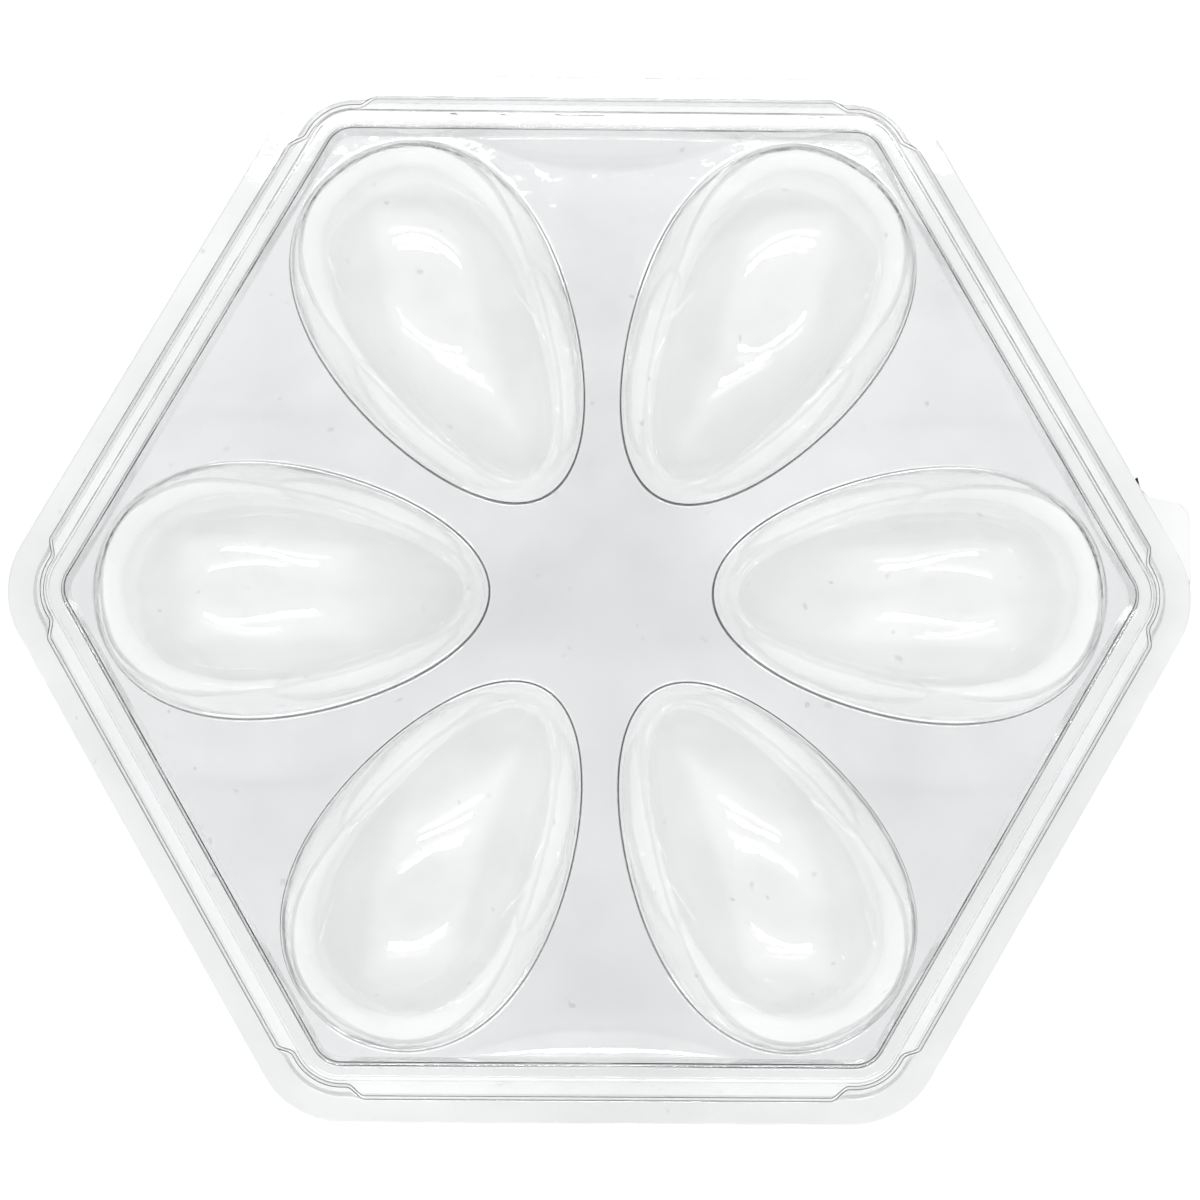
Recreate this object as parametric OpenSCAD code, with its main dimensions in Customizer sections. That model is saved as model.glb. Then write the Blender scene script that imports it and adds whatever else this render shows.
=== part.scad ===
// Clear formed egg pack: a six-cup hexagonal tray and a matching lift-off lid.
// Each half is one thin formed sheet, drawn here zone by zone: the rim, the flat
// deck and six half-egg hollows that lie like petals, fat ends outwards.
// The part stands on its six cups at z = 0, with the lid closed.

/* [Size] */
// Distance from the middle to each flat side of the rim
flange_r = 94.2; // [92:0.1:110]
// Thickness of the formed sheet
sheet = 0.5; // [0.3:0.05:0.8]
// Gap between the tray and the lid above the flanges
fit = 0.4; // [0.2:0.05:0.6]

/* [Rim] */
// Distance from the middle to the snap bead's straight wall
bead_r = 90; // [89:0.1:91]
// Height of the bead's straight wall above the lid's flange
bead_h = 2.6; // [2:0.1:3.5]
// Distance from the middle to the foot of the wall at the corner reliefs
relief_r = 89.6; // [89:0.1:89.8]
// Distance from the middle to the relief's upper edge
relief_top_r = 87.6; // [87:0.1:88.5]
// Half the length of the snap bead on each side
bead_half = 42; // [30:1:44]
// Length over which each end of the bead runs back into the corner relief
bead_ramp = 1.6; // [0.5:0.1:3]
// Distance from the middle to the ridge's outer edge
ridge_out = 86.2; // [85.5:0.1:87]
// Distance from the middle to the ridge's inner edge
ridge_in = 83.1; // [82.8:0.1:84]
// Height of the ridge above the lid's flange
ridge_h = 7; // [5:0.1:9]
// Distance from the middle to the foot of the ridge's inner wall
deck_r = 82.4; // [82.2:0.1:82.6]
// Height of the lid's deck above its flange
deck_h = 3; // [2:0.1:4]
// Distance from the middle to the centres of the corner curves, measured to a side
corner_r = 78; // [74:0.5:79]

/* [Egg hollows] */
// Number of hollows
cells = 6; // [6:1:6]
// Distance from the middle to the middle of each hollow
egg_c = 55.2; // [54:0.1:56]
// Length of a hollow
egg_len = 70.4; // [60:0.1:71]
// Width of a hollow before the fat end is widened
egg_w = 44.8; // [36:0.1:45]
// How much wider the fat end is than the thin end
egg_fat = 0.228; // [0:0.001:0.25]
// How much the ends are filled out
egg_full = 0.047; // [0:0.001:0.08]
// Depth of a hollow, which ends in a small flat
egg_depth = 22.4; // [18:0.1:22.6]

/* [Lift tab] */
// How far the tab's straight top edge lies from the corner's middle line
tab_top = 17.8; // [12:0.1:24]
// Radius of the tab's outer corner
tab_corner = 4; // [1:0.5:6]
// Radius of the blend between the tab and the rim
tab_blend = 4; // [1:0.5:6]

/* [Detail] */
// Steps along half of an egg outline
egg_steps = 24; // [12:2:40]
// Steps round each corner of the rim
arc_steps = 10; // [6:2:16]

/* [Hidden] */
$fn = 96;
side_angle = 30;                                  // from a corner to the next side
sector = 2 * side_angle;                          // from one corner to the next
step = sheet + fit;                               // from the lid's top face to the tray's
rim_lip = 0.4;                                    // level strip inside the ridge's foot
mouth = 1;                                        // how far an inner cut runs past a rim
tray_top = egg_depth;                             // height of the tray deck's top face
lid_under = tray_top + fit;                       // height of the lid deck's lower face
lid_z = lid_under - deck_h;                       // height of the lid flange's lower face
deck_edge = deck_r - rim_lip;                     // where the rim meets the flat deck
rim_top = sheet + ridge_h;                        // the ridge over the flange's lower face
bead_top = sheet + bead_h;                        // the bead over the flange's lower face
slope = (rim_top - bead_top) / (bead_r - ridge_out);
relief_top = bead_top + (bead_r - relief_top_r) * slope;
corner_c = corner_r / cos(side_angle);            // middle to a corner curve's centre
tab_x = corner_c + flange_r - corner_r;           // outermost point of the rim
tint = "#dfe7ea";

// ---- a thin sheet along a line of [radius, height] points ----

function unit(v) = v / norm(v);
function to_left(v) = [-v.y, v.x];
function side_way(line, i) = to_left(unit(line[i + 1] - line[i]));

// Moves one point of the line to the left of the way the line runs.
function moved(line, i, d) =
    let (last = len(line) - 1)
    let (before = side_way(line, max(i - 1, 0)))
    let (after = side_way(line, min(i, last - 1)))
    line[i] + (before + after) * d / (1 + before * after);

function moved_line(line, d) = [for (i = [0 : len(line) - 1]) moved(line, i, d)];
function backwards(line) = [for (i = [len(line) - 1 : -1 : 0]) line[i]];
function strip(line) = concat(line, backwards(moved_line(line, sheet)));

// The upper face of the lid's rim, from the flange's edge in to the deck, with
// heights from the flange's lower face.
function rim_line(foot, shoulder) = [
    [flange_r, sheet],
    foot,
    shoulder,
    [ridge_out, rim_top],
    [ridge_in, rim_top],
    [deck_r, sheet + deck_h],
    [deck_edge, sheet + deck_h]
];

bead_line = rim_line([bead_r, sheet], [bead_r, bead_top]);
relief_line = rim_line([relief_r, sheet], [relief_top_r, relief_top]);

// The tray's rim nests under the lid's, and the two flanges meet.
function under(line) =
    let (lower = moved_line(line, step))
    [for (i = [0 : len(line) - 1]) i < 2 ? [lower[i].x, 0] : lower[i]];

// ---- the rim: one strip swept round the rounded hexagon ----

// A station is the place and heading of one cross-section: the point on the sharp
// inner hexagon that it springs from, its outward angle, and whether it has the bead.
function along(angle, out, across) =
    [out * cos(angle) - across * sin(angle), out * sin(angle) + across * cos(angle)];

function corner_stations(k) =
    let (middle = k * sector)
    [
        for (i = [0 : arc_steps])
            [along(middle, corner_c, 0), middle + side_angle * (2 * i / arc_steps - 1), false]
    ];

function side_stations(k, half) =
    let (angle = k * sector + side_angle)
    [
        for (s = [[-half, false], [bead_ramp - half, true], [half - bead_ramp, true], [half, false]])
            [along(angle, corner_r, s[0]), angle, s[1]]
    ];

function stations(half) = [
    for (k = [0 : cells - 1])
        each concat(corner_stations(k), side_stations(k, half))
];

function at_radius(s, r) = s[0] + along(s[1], r - corner_r, 0);

module rim(bead, relief, half) {
    ring = stations(half);
    count = len(bead);
    points = [
        for (s = ring)
            for (p = s[2] ? bead : relief)
                let (place = at_radius(s, p.x))
                [place.x, place.y, p.y]
    ];
    faces = [
        for (i = [0 : len(ring) - 1])
            for (p = [0 : count - 1])
                let (j = (i + 1) % len(ring))
                let (q = (p + 1) % count)
                each [
                    [i * count + p, j * count + q, j * count + p],
                    [i * count + p, i * count + q, j * count + q]
                ]
    ];
    polyhedron(points, faces);
}

module rounded_hexagon(r) {
    polygon([for (k = [0 : cells - 1]) each [for (s = corner_stations(k)) at_radius(s, r)]]);
}

// ---- the hollows ----

// Half of an egg's outline: distance from its axis, and place along its axis.
function egg_point(t, inset) =
    let (wide = egg_w / 2 - inset)
    let (long = egg_len / 2 - inset)
    [wide * sin(t) * (1 + egg_fat * cos(t) + egg_full * pow(cos(t), 2)), long * cos(t)];

module egg(inset = 0) {
    translate([egg_c, 0, 0])
        rotate([0, 90, 0])
            rotate_extrude()
                polygon([for (i = [0 : egg_steps]) egg_point(180 * i / egg_steps, inset)]);
}

module below(depth, above) {
    translate([egg_c - egg_len, -egg_w, -depth])
        cube([2 * egg_len, 2 * egg_w, depth + above]);
}

// One half-egg shell, opening upwards at z = 0.
module hollow(k) {
    rotate([0, 0, (k - 1) * sector])
        difference() {
            intersection() {
                egg();
                below(egg_depth, 0);
            }
            intersection() {
                egg(sheet);
                below(egg_depth - sheet, mouth);
            }
        }
}

// The flat sheet between the hollows. Its eggs' axes lie at the height axis_z.
module deck(axis_z) {
    difference() {
        linear_extrude(sheet)
            rounded_hexagon(deck_edge);
        for (k = [0 : cells - 1])
            rotate([0, 0, k * sector])
                translate([0, 0, axis_z])
                    egg();
    }
}

// ---- the sub-parts ----

module tray_rim() {
    color(tint, 0.45)
        translate([0, 0, lid_z])
            rim(strip(under(bead_line)), strip(under(relief_line)), bead_half - 2 * step);
}

module tray_deck() {
    color(tint, 0.45)
        translate([0, 0, tray_top - sheet])
            deck(sheet);
}

module cup(k) {
    color(tint, 0.45)
        translate([0, 0, tray_top])
            hollow(k);
}

module lid_rim() {
    color(tint, 0.35)
        translate([0, 0, lid_z])
            rim(strip(bead_line), strip(relief_line), bead_half);
}

module lid_deck() {
    color(tint, 0.35)
        translate([0, 0, lid_under])
            deck(0);
}

module dome(k) {
    color(tint, 0.35)
        translate([0, 0, lid_under])
            mirror([0, 0, 1])
                hollow(k);
}

// The rounded tab at the right-hand corner, to lift the lid by.
module tab_outline() {
    root = [(flange_r - tab_top * sin(side_angle)) / cos(side_angle), tab_top];
    run = tab_blend * tan(side_angle);
    difference() {
        union() {
            translate([flange_r, 0])
                square([tab_x - flange_r, tab_top - tab_corner]);
            translate([flange_r, 0])
                square([tab_x - tab_corner - flange_r, tab_top]);
            translate([tab_x - tab_corner, tab_top - tab_corner])
                circle(tab_corner);
            polygon([
                root,
                root + [run, 0],
                root + [run, tab_blend],
                root + [-run * sin(side_angle), run * cos(side_angle)]
            ]);
        }
        translate(root + [run, tab_blend])
            circle(tab_blend);
        rounded_hexagon(flange_r);
    }
}

module lift_tab() {
    color(tint, 0.35)
        translate([0, 0, lid_z])
            linear_extrude(sheet)
                tab_outline();
}

tray_rim();
tray_deck();
cup(1);  // cup_1
cup(2);  // cup_2
cup(3);  // cup_3
cup(4);  // cup_4
cup(5);  // cup_5
cup(6);  // cup_6
lid_rim();
lid_deck();
dome(1);  // dome_1
dome(2);  // dome_2
dome(3);  // dome_3
dome(4);  // dome_4
dome(5);  // dome_5
dome(6);  // dome_6
lift_tab();
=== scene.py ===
"""A clear formed six-egg pack: hexagonal tray and lift-off lid, each one thin plastic sheet."""

import math
from typing import NamedTuple

import bmesh
import bpy
import numpy as np
from mathutils import Matrix, Vector


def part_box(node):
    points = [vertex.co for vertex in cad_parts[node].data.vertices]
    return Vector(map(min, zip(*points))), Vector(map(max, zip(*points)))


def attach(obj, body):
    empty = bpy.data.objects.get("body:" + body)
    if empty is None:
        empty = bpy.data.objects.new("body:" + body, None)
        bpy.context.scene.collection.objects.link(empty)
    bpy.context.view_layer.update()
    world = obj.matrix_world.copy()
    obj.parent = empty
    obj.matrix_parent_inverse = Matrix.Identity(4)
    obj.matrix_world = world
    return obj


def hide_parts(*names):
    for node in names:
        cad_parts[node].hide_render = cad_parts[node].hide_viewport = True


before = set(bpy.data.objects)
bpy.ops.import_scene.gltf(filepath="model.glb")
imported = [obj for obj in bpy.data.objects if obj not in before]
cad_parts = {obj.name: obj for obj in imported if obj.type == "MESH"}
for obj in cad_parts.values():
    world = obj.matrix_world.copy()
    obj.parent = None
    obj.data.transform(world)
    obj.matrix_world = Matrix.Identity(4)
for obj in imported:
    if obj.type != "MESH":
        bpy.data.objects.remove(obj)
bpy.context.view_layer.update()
scene = bpy.context.scene

# ---------------------------------------------------------------- sizes, in metres
MM = 0.001
CELLS = 6
SECTOR = math.tau / CELLS
COS30, SIN30, TAN30 = math.cos(SECTOR / 2), math.sin(SECTOR / 2), math.tan(SECTOR / 2)


def box_low(node, axis):
    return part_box(node)[0][axis]


def box_high(node, axis):
    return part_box(node)[1][axis]


FLANGE_R = box_high("lid_rim", 1)  # middle to a flat side
TIP_X = box_high("lid_rim", 0)  # middle to a rounded corner
# From the two above, the middle of each corner curve, measured to a side.
CORNER_R = (TIP_X - FLANGE_R) / (1 / COS30 - 1)
LID_FOOT = box_low("lid_rim", 2)
RIDGE_Z = box_high("lid_rim", 2)
LID_DECK = box_high("lid_deck", 2)
TRAY_DECK = box_high("tray_deck", 2)
SHEET = LID_DECK - box_low("lid_deck", 2)
STEP = LID_DECK - TRAY_DECK
EGG_LONG = (box_high("dome_1", 0) - box_low("dome_1", 0)) / 2
EGG_MID = (box_high("dome_1", 0) + box_low("dome_1", 0)) / 2
EGG_DEPTH = box_high("dome_1", 2) - box_low("dome_1", 2)

# the egg hollows' form, as in the CAD
EGG_WIDE = 22.4 * MM  # half the width, before the fat end is widened
EGG_FAT, EGG_FULL = 0.228, 0.047  # how much the fat end, and both ends, fill out
EGG_BLEND = 0.55 * MM  # blend between the deck and a hollow
FLAT_BLEND = 0.35 * MM  # how softly a hollow's end levels off

# the rim: what ends in _R, _OUT or _IN is a distance from the middle towards a side
BEAD_R = 90 * MM
BEAD_H = 2.6 * MM  # height of the bead's upright wall over the flange
BEAD_HALF = 44.2 * MM  # half the length of the snap bead
BEAD_RAMP = 3.0 * MM  # over which its end runs back into the corner relief
RELIEF_R = 89.6 * MM  # foot of the plain wall at a corner
RELIEF_TOP_R = 87.6 * MM
RIDGE_OUT = 86.2 * MM
RIDGE_IN = 83.1 * MM
DECK_R = 82.35 * MM
DECK_LIP = 0.3 * MM  # level strip between the ridge's foot and the deck
# radii of the cross-section's rounds, from the bead's foot in to the deck
RIM_RADII = [0.35 * MM, 0.5 * MM, 0.9 * MM, 0.8 * MM, 0.6 * MM, 20 * MM]

# the shallow slope at the foot of the ridge, between two hollows
SLOPE_IN = 4.6 * MM  # how far it reaches in at a side's middle
SLOPE_HALF = 24 * MM  # half its length
SLOPE_RISE = 0.27  # height over reach
SLOPE_KNEE = (0.45, 0.42)  # share of its reach, and of its height, where it turns steeper
KNEE_GAP = 0.1 * MM  # keeps the knee off the ridge's foot where the slope has no reach
SLOPED_FACING = 0.9  # only the two sides whose outward direction is this close to Y have it

# the lift tab
TAB_TOP = 17.8 * MM  # its upper edge, from the pack's middle line
TAB_CORNER = TAB_BLEND = 4 * MM  # radii of its outer corner and of its root
TAB_ROWS = 6
TAB_LEAST = 0.3 * MM  # a shorter reach would leave a sliver

# the sheet
THICK = 0.3 * MM  # as thin as such sheet is; the outer faces stay where the CAD has them
EDGE_LOOP = 0.12 * MM  # a loop close to the cut edge, which keeps its shading narrow
FLANGE_GAP = 0.04 * MM  # so that the two flanges' faces never coincide
WELD = 0.004 * MM  # points closer than this become one
# how much of the nesting distance each corner of the tray's section moves by
NEST_SHOULDER, NEST_SHOULDER_DROP, NEST_RIDGE_OUT, NEST_RIDGE_IN = 0.75, 0.62, 0.45, 0.7

# how finely it is drawn: points along, or rings round, each stretch
ROUND_STEPS = 5
SIDE_STEPS, BEAD_END_STEPS, SIDE_END_STEPS = 22, 13, 3
ARC_STEPS = 8
SPOKE_STEPS = 34
DECK_RINGS = 7
BLEND_STEPS = 6
BOWL_RINGS = 20


# ---------------------------------------------------------------- the rim's cross-section
def arc_corner(before, corner, after, radius, count):
    """Points of the round that replaces one corner of a cross-section."""
    a, b, c = (np.array(p, float) for p in (before, corner, after))
    u, v = (a - b) / np.linalg.norm(a - b), (c - b) / np.linalg.norm(c - b)
    half = math.acos(np.clip(u @ v, -1, 1)) / 2
    most = 0.49  # of a leg, so that two neighbouring rounds never meet
    reach = min(
        radius / math.tan(half),
        most * np.linalg.norm(a - b),
        most * np.linalg.norm(c - b),
    )
    start, end = b + u * reach, b + v * reach
    return [
        (1 - t) ** 2 * start + 2 * t * (1 - t) * b + t * t * end
        for t in np.linspace(0, 1, count)
    ]


def rounded_line(points, radii):
    """The line of points with every inner corner rounded."""
    out = [np.array(points[0], float)]
    for i in range(1, len(points) - 1):
        out += arc_corner(points[i - 1], points[i], points[i + 1], radii[i - 1], ROUND_STEPS)
    out.append(np.array(points[-1], float))
    return np.array(out)


def deck_edge(reach):
    """Where the flat deck begins, beyond a slope of that reach."""
    return DECK_R - DECK_LIP - reach


def rim_points(foot, shoulder, reach, drop):
    """Upper face of the rim from the flange's edge in to the deck, as radius and height.

    drop is 0 for the lid, and for the tray the distance that it nests under the lid.
    """
    base = LID_FOOT + SHEET
    flange_z = base if drop == 0 else LID_FOOT - FLANGE_GAP
    return [
        (FLANGE_R, flange_z),
        (foot[0] - drop, flange_z),
        (shoulder[0] - drop * NEST_SHOULDER, base + shoulder[1] - drop * NEST_SHOULDER_DROP),
        (RIDGE_OUT - drop * NEST_RIDGE_OUT, RIDGE_Z - drop),
        (RIDGE_IN + drop * NEST_RIDGE_IN, RIDGE_Z - drop),
        (DECK_R, LID_DECK - drop + reach * SLOPE_RISE),
        (
            DECK_R - KNEE_GAP - reach * SLOPE_KNEE[0],
            LID_DECK - drop + reach * SLOPE_RISE * SLOPE_KNEE[1],
        ),
        (deck_edge(reach), LID_DECK - drop),
    ]


def shelf_height(r):
    """Height over the flange of the slope between the bead and the ridge."""
    rise = (RIDGE_Z - LID_FOOT - SHEET - BEAD_H) / (BEAD_R - RIDGE_OUT)
    return BEAD_H + (BEAD_R - r) * rise


def rim_section(bead, reach, drop):
    """One cross-section: bead is 1 along the snap bead and 0 at a corner's relief."""
    full = rim_points((BEAD_R, 0), (BEAD_R, BEAD_H), reach, drop)
    relief = rim_points(
        (RELIEF_R, 0), (RELIEF_TOP_R, shelf_height(RELIEF_TOP_R)), reach, drop
    )
    corners = [
        tuple(np.array(a) * bead + np.array(b) * (1 - bead))
        for a, b in zip(full, relief)
    ]
    line = rounded_line(corners, RIM_RADII)
    edge = line[0] - [EDGE_LOOP, 0]
    return np.concatenate([line[:1], [edge], line[1:]])


# ---------------------------------------------------------------- stations round the hexagon
class Station(NamedTuple):
    """Place and heading of one cross-section of the rim."""

    spring: np.ndarray  # the point on the sharp inner hexagon that it springs from
    angle: float  # its outward direction
    bead: float  # 1 along the snap bead, 0 at a corner's relief
    reach: float  # how far the shallow slope reaches in, where the side has one

    def place(self, r):
        way = np.array([math.cos(self.angle), math.sin(self.angle)])
        return self.spring + (r - CORNER_R) * way


def smooth(t):
    t = min(max(t, 0.0), 1.0)
    return t * t * (3 - 2 * t)


def slope_reach(across):
    """The slope's reach, at a distance along the side from its middle."""
    return SLOPE_IN * max(0.0, 1 - (across / SLOPE_HALF) ** 2)


def side_spots():
    """Distances along half a side, closer together at the bead's end."""
    side_half = CORNER_R * TAN30
    ramp_start = BEAD_HALF - BEAD_RAMP
    return np.concatenate(
        [
            np.linspace(0, ramp_start, SIDE_STEPS)[:-1],
            np.linspace(ramp_start, BEAD_HALF, BEAD_END_STEPS)[:-1],
            np.linspace(BEAD_HALF, side_half, SIDE_END_STEPS)[:-1],
        ]
    )


def sector_stations():
    """All stations of one sixth, from one side's middle round the corner on +X to the next."""
    angle = -SECTOR / 2
    normal = np.array([math.cos(angle), math.sin(angle)])
    across = np.array([-math.sin(angle), math.cos(angle)])
    half = [
        Station(
            normal * CORNER_R + across * s,
            angle,
            smooth((BEAD_HALF - s) / BEAD_RAMP),
            slope_reach(s),
        )
        for s in side_spots()
    ]
    middle = np.array([CORNER_R / COS30, 0.0])
    half += [Station(middle, a, 0.0, 0.0) for a in np.radians(np.linspace(-30, 0, ARC_STEPS))]
    mirrored = [
        Station(np.array([s.spring[0], -s.spring[1]]), -s.angle, s.bead, s.reach)
        for s in reversed(half[:-1])
    ]
    return half + mirrored


STATIONS = sector_stations()


# ---------------------------------------------------------------- the egg hollows
class Egg:
    """One egg form lying along its sector's middle line."""

    def __init__(self, inset):
        self.long = EGG_LONG - inset
        self.wide = EGG_WIDE - inset

    def radius(self, x):
        """The form's radius at a share x of its half length, towards the fat end."""
        x = np.clip(x, -1, 1)
        return self.wide * np.sqrt(1 - x * x) * (1 + EGG_FAT * x + EGG_FULL * x * x)

    def edge(self, direction):
        """Distance from the egg's middle to its outline along a direction in plan."""
        d = direction / np.linalg.norm(direction)
        beyond, halvings = 1.2, 50
        low, high = 0.0, self.long * beyond
        for _ in range(halvings):
            mid = (low + high) / 2
            x = d[0] * mid / self.long
            inside = abs(x) < 1 and abs(d[1]) * mid < self.radius(x)
            low, high = (mid, high) if inside else (low, mid)
        return low

    def height(self, u, v):
        """Height of the form's surface over its axis, at a place in plan."""
        return math.sqrt(max(float(self.radius(u / self.long)) ** 2 - v * v, 0.0))


def soft_limit(h, limit):
    """h, but levelling off just under limit, as the small flat at a hollow's end does."""
    x = (limit - h) / FLAT_BLEND
    clear = 12  # beyond this many blends under the limit it has no effect
    return h if x > clear else limit - FLAT_BLEND * math.log1p(math.exp(x))


# ---------------------------------------------------------------- one formed sheet
class SheetMesh:
    """Collects the upper face of one sheet as grids of points, which are welded at the end."""

    def __init__(self):
        self.points = []
        self.faces = []

    def row(self, points):
        first = len(self.points)
        self.points += [tuple(float(c) for c in p) for p in points]
        return list(range(first, len(self.points)))

    def grid(self, rows, close=False):
        """Faces between rows of points; close joins each row's last point to its first."""
        ids = [self.row(points) for points in rows]
        for a, b in zip(ids, ids[1:]):
            for i in range(len(a) if close else len(a) - 1):
                j = (i + 1) % len(a)
                self.faces.append((a[i], a[j], b[j], b[i]))
        return ids

    def fan(self, ring, tip):
        middle = self.row([tip])[0]
        for i, corner in enumerate(ring):
            self.faces.append((corner, ring[(i + 1) % len(ring)], middle))

    def piece(self, name):
        """The welded mesh as an object, its normals facing up, thickened downwards."""
        data = bpy.data.meshes.new(name)
        data.from_pydata(self.points, [], self.faces)
        bm = bmesh.new()
        bm.from_mesh(data)
        bmesh.ops.remove_doubles(bm, verts=bm.verts, dist=WELD)
        bmesh.ops.dissolve_degenerate(bm, edges=bm.edges, dist=WELD)
        bmesh.ops.recalc_face_normals(bm, faces=bm.faces)
        if sum(f.normal.z * f.calc_area() for f in bm.faces) < 0:
            bmesh.ops.reverse_faces(bm, faces=bm.faces)
        for face in bm.faces:
            face.smooth = True
        bm.to_mesh(data)
        bm.free()
        obj = bpy.data.objects.new(name, data)
        scene.collection.objects.link(obj)
        thick = obj.modifiers.new("thickness", "SOLIDIFY")
        thick.thickness = THICK
        thick.offset = -1
        even = obj.modifiers.new("even_shading", "WEIGHTED_NORMAL")
        even.mode = "FACE_AREA"
        even.weight = 50
        return obj


def turned(p, k):
    c, s = math.cos(k * SECTOR), math.sin(k * SECTOR)
    return (p[0] * c - p[1] * s, p[0] * s + p[1] * c, p[2])


def deck_loop(reaches):
    """The closed edge of one sixth of the deck, starting and ending at the pack's middle."""
    outer = [s.place(deck_edge(reach)) for s, reach in zip(STATIONS, reaches)]
    shares = np.linspace(0, 1, SPOKE_STEPS)[1:-1]
    going = [outer[0] * t for t in shares]
    coming = [outer[-1] * t for t in reversed(shares)]
    return [np.zeros(2)] + going + outer + coming


def egg_outline(loop, middle, egg):
    """Where lines from the egg's middle to the loop cross its outline, and the normals there."""
    ways = [b - middle for b in loop]
    outline = np.array([way / np.linalg.norm(way) * egg.edge(way) for way in ways])
    normals = []
    for i, spot in enumerate(outline):
        along = outline[(i + 1) % len(outline)] - outline[i - 1]
        n = np.array([along[1], -along[0]]) / np.linalg.norm(along)
        normals.append(n if n @ spot > 0 else -n)
    return outline, normals


def side_reaches(k):
    """The slope's reach at every station of one sixth."""
    reaches = []
    for s in STATIONS:
        facing = math.sin(k * SECTOR + math.copysign(SECTOR / 2, s.angle))
        reaches.append(s.reach if abs(facing) > SLOPED_FACING else 0.0)
    return reaches


def rim_rows(reaches, drop):
    """The rim of one sixth, from the flange's edge in to the deck."""
    sections = [rim_section(s.bead, reach, drop) for s, reach in zip(STATIONS, reaches)]
    rows = []
    for j in range(len(sections[0])):
        row = []
        for s, section in zip(STATIONS, sections):
            r, z = section[j]
            row.append((*s.place(r), z))
        rows.append(row)
    return rows


def hollow_rows(loop, deck_z, egg, up, depth):
    """The deck and hollow of one sixth, in rings from the deck's edge to near the hollow's end."""
    middle = np.array([EGG_MID, 0.0])
    outline, normals = egg_outline(loop, middle, egg)
    around = range(len(loop))
    rows = []
    for t in np.linspace(0, 1, DECK_RINGS + 1):
        row = []
        for i in around:
            inner = middle + outline[i] + normals[i] * EGG_BLEND
            row.append((*(loop[i] * (1 - t) + inner * t), deck_z))
        rows.append(row)

    # the blend, from flat to upright
    for a in np.linspace(0, math.pi / 2, BLEND_STEPS + 1)[1:]:
        z = deck_z + up * EGG_BLEND * (1 - math.cos(a))
        row = []
        for i in around:
            p = middle + outline[i] + normals[i] * EGG_BLEND * (1 - math.sin(a))
            row.append((*p, z))
        rows.append(row)

    # the bowl, whose first ring stands a little inside the blend
    axis_z = deck_z - SHEET if up > 0 else deck_z
    first_ring = 1.6
    start = math.asin(EGG_BLEND / egg.wide) * first_ring
    for psi in np.linspace(start, math.pi / 2, BOWL_RINGS)[:-1]:
        row = []
        for i in around:
            u, v = outline[i] * math.cos(psi)
            row.append((EGG_MID + u, v, axis_z + up * soft_limit(egg.height(u, v), depth)))
        rows.append(row)
    tip = (EGG_MID, 0, axis_z + up * soft_limit(egg.height(0, 0), depth))
    return rows, tip


def build_sheet(name, drop, egg, up, tab=False):
    """The whole sheet: up is 1 for domes over the deck and -1 for cups under it."""
    mesh = SheetMesh()
    depth = EGG_DEPTH if up > 0 else EGG_DEPTH - THICK
    for k in range(CELLS):
        reaches = side_reaches(k)
        mesh.grid([[turned(p, k) for p in row] for row in rim_rows(reaches, drop)])
        rows, tip = hollow_rows(deck_loop(reaches), LID_DECK - drop, egg, up, depth)
        rings = mesh.grid([[turned(p, k) for p in row] for row in rows], close=True)
        mesh.fan(rings[-1], turned(tip, k))
    if tab:
        add_tab(mesh)
    return mesh.piece(name)


# ---------------------------------------------------------------- the lift tab
def circle_hits(start, way, centre, radius):
    """Distances along a line to the near and far side of a circle, or None if it misses."""
    b = way @ (start - centre)
    c = (start - centre) @ (start - centre) - radius**2
    if b * b <= c:
        return None
    return -b - math.sqrt(b * b - c), math.sqrt(b * b - c) - b


def tab_reach(start, way):
    """How far the tab stands out from a point on the flange's edge, along a direction."""
    tip = start + way * ((TIP_X - start[0]) / way[0])
    if tip[1] > TAB_TOP:
        tip = start + way * ((TAB_TOP - start[1]) / way[1])
    corner = np.array([TIP_X - TAB_CORNER, TAB_TOP - TAB_CORNER])
    if tip[0] > corner[0] and tip[1] > corner[1]:
        hits = circle_hits(start, way, corner, TAB_CORNER)
        if hits:
            tip = start + way * hits[1]
    # beyond the top edge the blend's round hollow ends the tab
    root = np.array([(FLANGE_R - TAB_TOP * SIN30) / COS30, TAB_TOP])
    hollow = root + np.array([TAB_BLEND * TAN30, TAB_BLEND])
    touch = 1e-9
    if start[1] > TAB_TOP or tip[1] >= TAB_TOP - touch:
        hits = circle_hits(start, way, hollow, TAB_BLEND)
        if hits and hits[0] > 0 and start[1] > TAB_TOP - TAB_BLEND:
            near = start + way * hits[0]
            if near[0] < hollow[0]:
                tip = near
    reach = float((tip - start) @ way)
    return reach if reach > TAB_LEAST else 0.0


def add_tab(mesh):
    """Runs the lid's flange out into the tab, on the upper side of the first corner."""
    past_root = 2 * MM
    end_y = TAB_TOP + TAB_BLEND * TAN30 * COS30 + past_root
    upper = STATIONS[len(STATIONS) // 2 :]
    chosen = [s for s in upper if s.place(FLANGE_R)[1] <= end_y]
    z = LID_FOOT + SHEET
    rows = []
    for t in [*np.linspace(0, 1, TAB_ROWS), None]:
        row = []
        for s in chosen:
            start = s.place(FLANGE_R)
            way = np.array([math.cos(s.angle), math.sin(s.angle)])
            reach = tab_reach(start, way)
            inner = max(reach - EDGE_LOOP, 0.0)
            row.append((*(start + way * (reach if t is None else inner * t)), z))
        rows.append(row)
    mesh.grid(rows)


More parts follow.
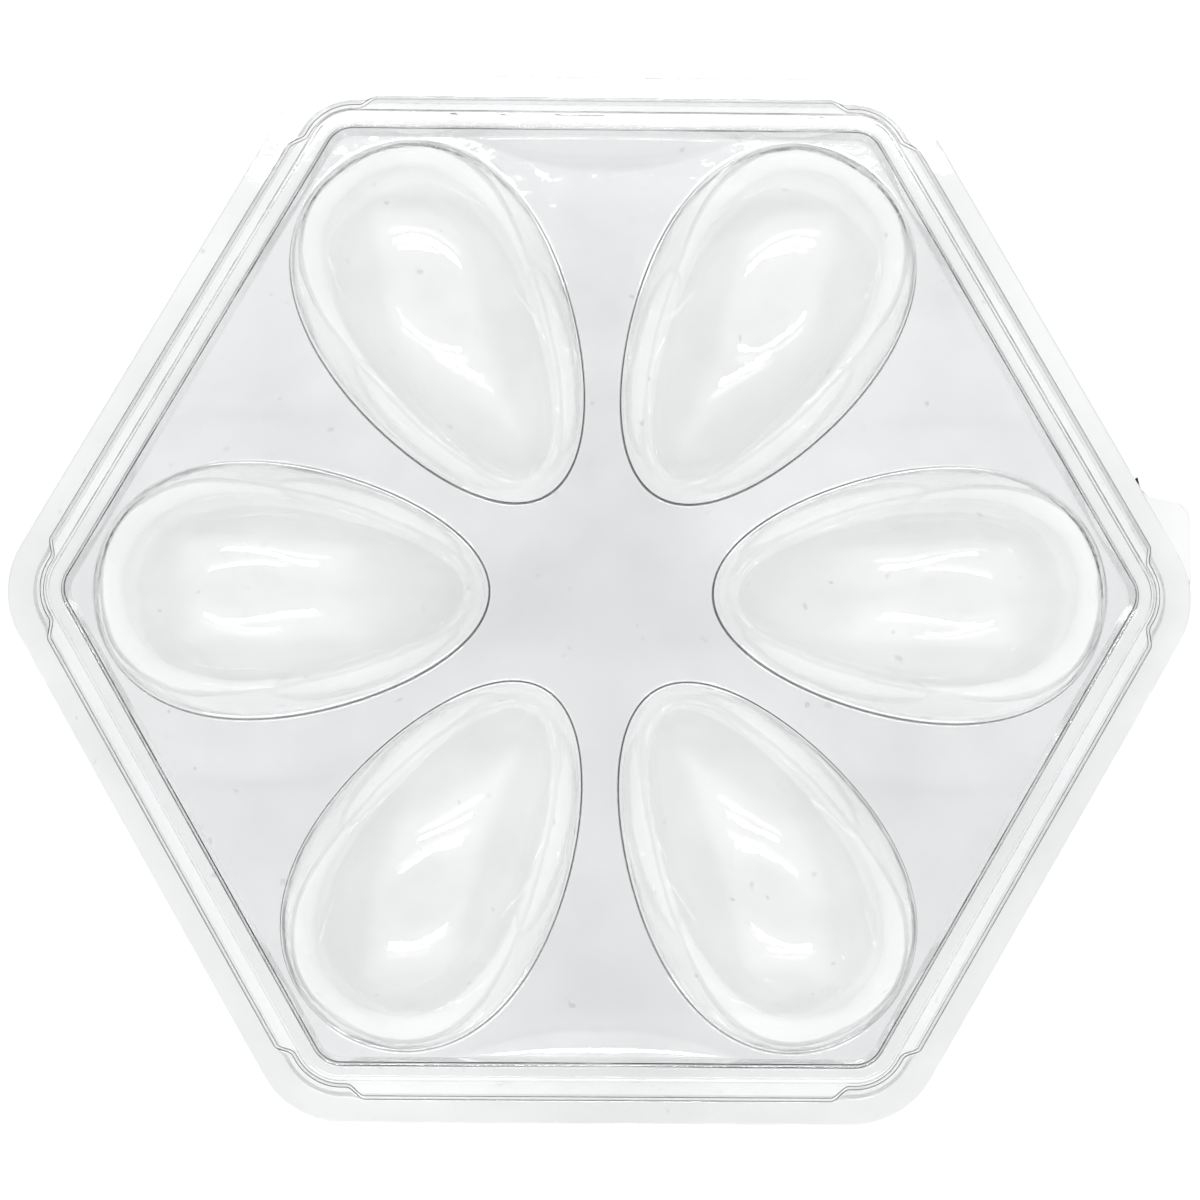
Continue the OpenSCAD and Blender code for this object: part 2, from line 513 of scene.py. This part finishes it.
# ---------------------------------------------------------------- shader helpers
def math_node(nt, operation, a, b=None):
    """A math node on one or two sockets, or on a socket and a number."""
    node = nt.nodes.new("ShaderNodeMath")
    node.operation = operation
    nt.links.new(a, node.inputs[0])
    if isinstance(b, float):
        node.inputs[1].default_value = b
    elif b is not None:
        nt.links.new(b, node.inputs[1])
    return node.outputs[0]


def mapped(nt, value, low, high, interpolation="LINEAR"):
    """value, spread from low..high to 0..1."""
    node = nt.nodes.new("ShaderNodeMapRange")
    node.interpolation_type = interpolation
    node.inputs["From Min"].default_value = low
    node.inputs["From Max"].default_value = high
    nt.links.new(value, node.inputs["Value"])
    return node.outputs["Result"]


def ramp(nt, value, stops):
    """A strength that follows a value between given stops of (value, strength)."""
    curve = nt.nodes.new("ShaderNodeValToRGB")
    curve.color_ramp.interpolation = "EASE"
    points = curve.color_ramp.elements
    while len(points) < len(stops):
        points.new(0.5)
    for point, (at, strength) in zip(points, stops):
        point.position = at
        point.color = (strength, strength, strength, 1)
    nt.links.new(value, curve.inputs["Fac"])
    return curve.outputs["Color"]


def mixed(nt, blend, factor, a, b):
    """A colour mix; a and b are each a socket or a constant colour."""
    mix = nt.nodes.new("ShaderNodeMix")
    mix.data_type = "RGBA"
    mix.blend_type = blend
    nt.links.new(factor, mix.inputs["Factor"])
    first_color, result = 6, 2  # where a mix node keeps its colour sockets
    for index, color in enumerate((a, b), first_color):
        if isinstance(color, tuple):
            mix.inputs[index].default_value = color
        else:
            nt.links.new(color, mix.inputs[index])
    return mix.outputs[result]


def darkened(nt, color, where, factor):
    """The colour times factor, wherever the mask is 1."""
    return mixed(nt, "MULTIPLY", where, color, (factor, factor, factor, 1))


def noise(nt, vector, scale, detail):
    wave = nt.nodes.new("ShaderNodeTexNoise")
    wave.inputs["Scale"].default_value = scale
    wave.inputs["Detail"].default_value = detail
    nt.links.new(vector, wave.inputs["Vector"])
    return wave.outputs["Fac"]


def bumped(nt, height, distance, under=None):
    """A bump's normal, laid over another bump's if there is one."""
    bump = nt.nodes.new("ShaderNodeBump")
    bump.inputs["Strength"].default_value = 1.0
    bump.inputs["Distance"].default_value = distance
    nt.links.new(height, bump.inputs["Height"])
    if under is not None:
        nt.links.new(under, bump.inputs["Normal"])
    return bump.outputs["Normal"]


# ---------------------------------------------------------------- clear plastic
# What one face of a sheet lets through to the floor, and the sheet's own tint: first where it was
# left flat, then away from the deck's height, where forming draws the sheet thin in the ridge and
# the hollows. The lighter sheet tint there is partly painted light: it also brightens the domes,
# standing in for their bright reflection, and the flange, which forming leaves thick, against the
# shade the pack casts on the floor.
SHADOW_TINTS = ((0.938, 0.939, 0.94, 1), (0.968, 0.969, 0.97, 1))
SHEET_AND_PAINTED_LIGHT_TINTS = ((0.965, 0.970, 0.972, 1), (0.995, 0.997, 0.997, 1))
DRAWN_AND_LIT_FROM, DRAWN_AND_LIT_FULL = 0.5 * MM, 6 * MM  # heights from the deck between which it thins and its tint is lifted as painted light
BEAD_PAINTED_SHADE = 0.62  # painted shade on the bead's upright wall, standing in for the dark line it shows edge-on from above
BEAD_SHADE_STOPS = [(0.0, 0.0), (0.1, 1.0), (0.9, 1.0), (1.0, 0.0)]  # share of its height, strength of the painted shade

# Noise as (scale, detail). A mask has limits, and the factor that it dulls the tint by, and
# a bump has a depth. Scuffs are where the fine grain shows.
CLOUD_NOISE, CLOUD_LIMITS, CLOUD = (34, 6), (0.42, 0.66), 0.95
SPECK_NOISE, SPECK_LIMITS, SPECK = (330, 1), (0.76, 0.80), 0.86
WAVE_NOISE, WAVE_DEPTH = (40, 2), 0.3 * MM
PEEL_NOISE, PEEL_DEPTH = (170, 3), 0.06 * MM
SCUFF_NOISE, SCUFF_LIMITS = (60, 3), (0.60, 0.72)
GRAIN_NOISE, GRAIN_DEPTH = (1500, 2), 0.02 * MM


def clear_plastic(name, deck_z, offset, wall=None):
    """Clear sheet with the slow waves, orange peel and few frosted scuffs that forming leaves.

    deck_z is the height at which the sheet is undrawn, and wall the heights of a band darkened as
    painted shade.
    """
    mat = bpy.data.materials.new(name)
    mat.use_nodes = True
    nt = mat.node_tree
    nodes, links = nt.nodes, nt.links
    nodes.clear()
    out = nodes.new("ShaderNodeOutputMaterial")
    glass = nodes.new("ShaderNodeBsdfPrincipled")
    glass.inputs["Roughness"].default_value = 0.03
    glass.inputs["IOR"].default_value = 1.57
    glass.inputs["Transmission Weight"].default_value = 1.0
    # light on its way to the floor goes straight through
    shadow = nodes.new("ShaderNodeBsdfTransparent")
    path = nodes.new("ShaderNodeLightPath")
    seen = glass
    for ray in ("Is Diffuse Ray", "Is Shadow Ray"):
        mix = nodes.new("ShaderNodeMixShader")
        links.new(path.outputs[ray], mix.inputs["Fac"])
        links.new(seen.outputs[0], mix.inputs[1])
        links.new(shadow.outputs[0], mix.inputs[2])
        seen = mix
    links.new(seen.outputs[0], out.inputs["Surface"])

    coord = nodes.new("ShaderNodeTexCoord")
    place = nodes.new("ShaderNodeMapping")
    place.inputs["Location"].default_value = offset
    links.new(coord.outputs["Object"], place.inputs["Vector"])
    spot = place.outputs["Vector"]
    split = nodes.new("ShaderNodeSeparateXYZ")
    links.new(coord.outputs["Object"], split.inputs[0])
    from_deck = math_node(nt, "ABSOLUTE", math_node(nt, "SUBTRACT", split.outputs["Z"], deck_z))
    drawn_and_lit = mapped(nt, from_deck, DRAWN_AND_LIT_FROM, DRAWN_AND_LIT_FULL, "SMOOTHSTEP")

    # clearer where drawn thin, and partly painted light that brightens the domes and the flange
    tint = mixed(nt, "MIX", drawn_and_lit, *SHEET_AND_PAINTED_LIGHT_TINTS)
    tint = darkened(nt, tint, mapped(nt, noise(nt, spot, *CLOUD_NOISE), *CLOUD_LIMITS), CLOUD)
    tint = darkened(nt, tint, mapped(nt, noise(nt, spot, *SPECK_NOISE), *SPECK_LIMITS), SPECK)
    # painted shade: the bead's upright wall is darkened to stand in for the dark line that the
    # steep wall shows, nearly edge-on, from above
    if wall:
        upright = ramp(nt, mapped(nt, split.outputs["Z"], *wall), BEAD_SHADE_STOPS)
        tint = darkened(nt, tint, upright, BEAD_PAINTED_SHADE)
    links.new(tint, glass.inputs["Base Color"])
    links.new(mixed(nt, "MIX", drawn_and_lit, *SHADOW_TINTS), shadow.inputs["Color"])

    waves = bumped(nt, noise(nt, spot, *WAVE_NOISE), WAVE_DEPTH)
    peel = bumped(nt, noise(nt, spot, *PEEL_NOISE), PEEL_DEPTH, waves)
    scuffs = mapped(nt, noise(nt, spot, *SCUFF_NOISE), *SCUFF_LIMITS)
    grain = math_node(nt, "MULTIPLY", scuffs, noise(nt, spot, *GRAIN_NOISE))
    links.new(bumped(nt, grain, GRAIN_DEPTH, peel), glass.inputs["Normal"])
    return mat


# ---------------------------------------------------------------- build
lid = build_sheet("lid_sheet", 0.0, Egg(0.0), 1, tab=True)
tray = build_sheet("tray_sheet", STEP, Egg(THICK), -1)
# heights of the bead's upright wall, which gets painted shade
BEAD_SHADE_BAND = (LID_FOOT + SHEET, LID_FOOT + SHEET + BEAD_H)
TRAY_OFFSET = (0.31, 0.17, 0.05)  # so that the two sheets' noise doesn't match
lid.data.materials.append(clear_plastic("clear_pet_lid", LID_DECK, (0, 0, 0), BEAD_SHADE_BAND))
tray.data.materials.append(clear_plastic("clear_pet_tray", TRAY_DECK, TRAY_OFFSET))

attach(lid, "lid")
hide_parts("lid_rim", "lid_deck", "lift_tab", *[f"dome_{i + 1}" for i in range(CELLS)])
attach(tray, "tray")
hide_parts("tray_rim", "tray_deck", *[f"cup_{i + 1}" for i in range(CELLS)])

# ---------------------------------------------------------------- floor
FLOOR_CORNERS = [(-3, -3, 0), (3, -3, 0), (3, 3, 0), (-3, 3, 0)]
FLOOR_DROP = 0.2 * MM  # so that the cups' flats and the floor never coincide
FLOOR_WHITE = (0.90, 0.90, 0.90, 1)

floor_mesh = bpy.data.meshes.new("floor")
floor_mesh.from_pydata(FLOOR_CORNERS, [], [(0, 1, 2, 3)])
floor = bpy.data.objects.new("floor", floor_mesh)
floor.location.z = -FLOOR_DROP
scene.collection.objects.link(floor)
floor_mat = bpy.data.materials.new("floor_white")
floor_mat.use_nodes = True
matt = floor_mat.node_tree.nodes["Principled BSDF"]
matt.inputs["Base Color"].default_value = FLOOR_WHITE
matt.inputs["Roughness"].default_value = 0.9
matt.inputs["Specular IOR Level"].default_value = 0.1
floor_mesh.materials.append(floor_mat)

# ---------------------------------------------------------------- light
# A cloth tent round the pack. Stops from straight to the front, 0, to straight to the back,
# 1, with their strengths: a dim wall, the front roof, the dimmer middle, the brighter back
# roof and a dim wall again.
CLOTH = [
    (0.10, 0.22),
    (0.18, 0.60),
    (0.405, 0.54),
    (0.43, 0.40),
    (0.625, 0.82),
    (0.66, 0.86),
    (0.78, 0.84),
    (0.88, 0.34),
]
SIDE_WALLS = [(0.42, 1.0), (0.70, 0.34)]  # the same from straight up, 0, out to a side, 1
# A small gap overhead, darker than the cloth: the way to it, and stops out from its middle.
GAP_WAY = (0.0, 0.075, 0.997)
GAP = [(0.03, 0.6), (0.14, 1.0)]
CEILING = 0.56  # height of the two lamps
BAR_SIZE = (0.34, 0.03)
BAR_ANGLE = math.radians(22)
BAR_RADIANCE = 58

world = bpy.data.worlds.new("studio")
world.use_nodes = True
sky = world.node_tree
where = sky.nodes.new("ShaderNodeTexCoord").outputs["Generated"]
split = sky.nodes.new("ShaderNodeSeparateXYZ")
sky.links.new(where, split.inputs[0])
cloth = ramp(sky, mapped(sky, split.outputs["Y"], -1, 1), CLOTH)
walls = ramp(sky, math_node(sky, "ABSOLUTE", split.outputs["X"]), SIDE_WALLS)
apart = sky.nodes.new("ShaderNodeVectorMath")
apart.operation = "DISTANCE"
apart.inputs[1].default_value = GAP_WAY
sky.links.new(where, apart.inputs[0])
gap = ramp(sky, apart.outputs["Value"], GAP)
strength = math_node(sky, "MULTIPLY", math_node(sky, "MULTIPLY", cloth, walls), gap)
sky.links.new(strength, sky.nodes["Background"].inputs["Strength"])
sky.nodes["Background"].inputs["Color"].default_value = (1, 1, 1, 1)
scene.world = world


def bar(name, side):
    """One long lamp in the roof, facing down, to the front (-1) or the back (1)."""
    data = bpy.data.lights.new(name, "AREA")
    data.shape = "RECTANGLE"
    data.size, data.size_y = BAR_SIZE
    data.energy = BAR_RADIANCE * math.pi * BAR_SIZE[0] * BAR_SIZE[1]
    lamp = bpy.data.objects.new(name, data)
    lamp.location = (0, side * CEILING * math.tan(BAR_ANGLE), CEILING)
    lamp.rotation_mode = "QUATERNION"
    lamp.rotation_quaternion = Vector((0, 0, -1)).to_track_quat("-Z", "Y")
    scene.collection.objects.link(lamp)


bar("bar_front", -1)
bar("bar_back", 1)

# ---------------------------------------------------------------- camera
LENS, SENSOR = 90, 36  # mm
DISTANCE = 539 * MM
SHIFT = Vector((0.17 * MM, 1.06 * MM, 0))  # of the pack in the picture
# The pack is seen from nearly straight above, turned and tilted by these angles.
TURN, TILT, LEAN = math.radians(-0.38), math.radians(-4.23), math.radians(0.785)

cam_data = bpy.data.cameras.new("camera")
cam_data.sensor_width = SENSOR
cam_data.lens = LENS
cam_data.clip_start, cam_data.clip_end = 0.01, 10
cam = bpy.data.objects.new("camera", cam_data)
scene.collection.objects.link(cam)
scene.camera = cam
tilt = Matrix.Rotation(TURN, 3, "Z") @ Matrix.Rotation(TILT, 3, "X") @ Matrix.Rotation(LEAN, 3, "Y")
to_world = tilt.transposed()
target = Vector((0, 0, LID_FOOT + SHEET))
stand = target + to_world @ (Vector((0, 0, DISTANCE)) - SHIFT)
cam.matrix_world = Matrix.Translation(stand) @ to_world.to_4x4()

scene.view_settings.view_transform = "Standard"
scene.cycles.max_bounces = 10
scene.cycles.transmission_bounces = 10
scene.cycles.transparent_max_bounces = 32
scene.cycles.glossy_bounces = 4
scene.cycles.diffuse_bounces = 2
# The sheets already let light through as plain shadows, so their true caustics would double it.
scene.cycles.caustics_refractive = False
scene.cycles.caustics_reflective = False
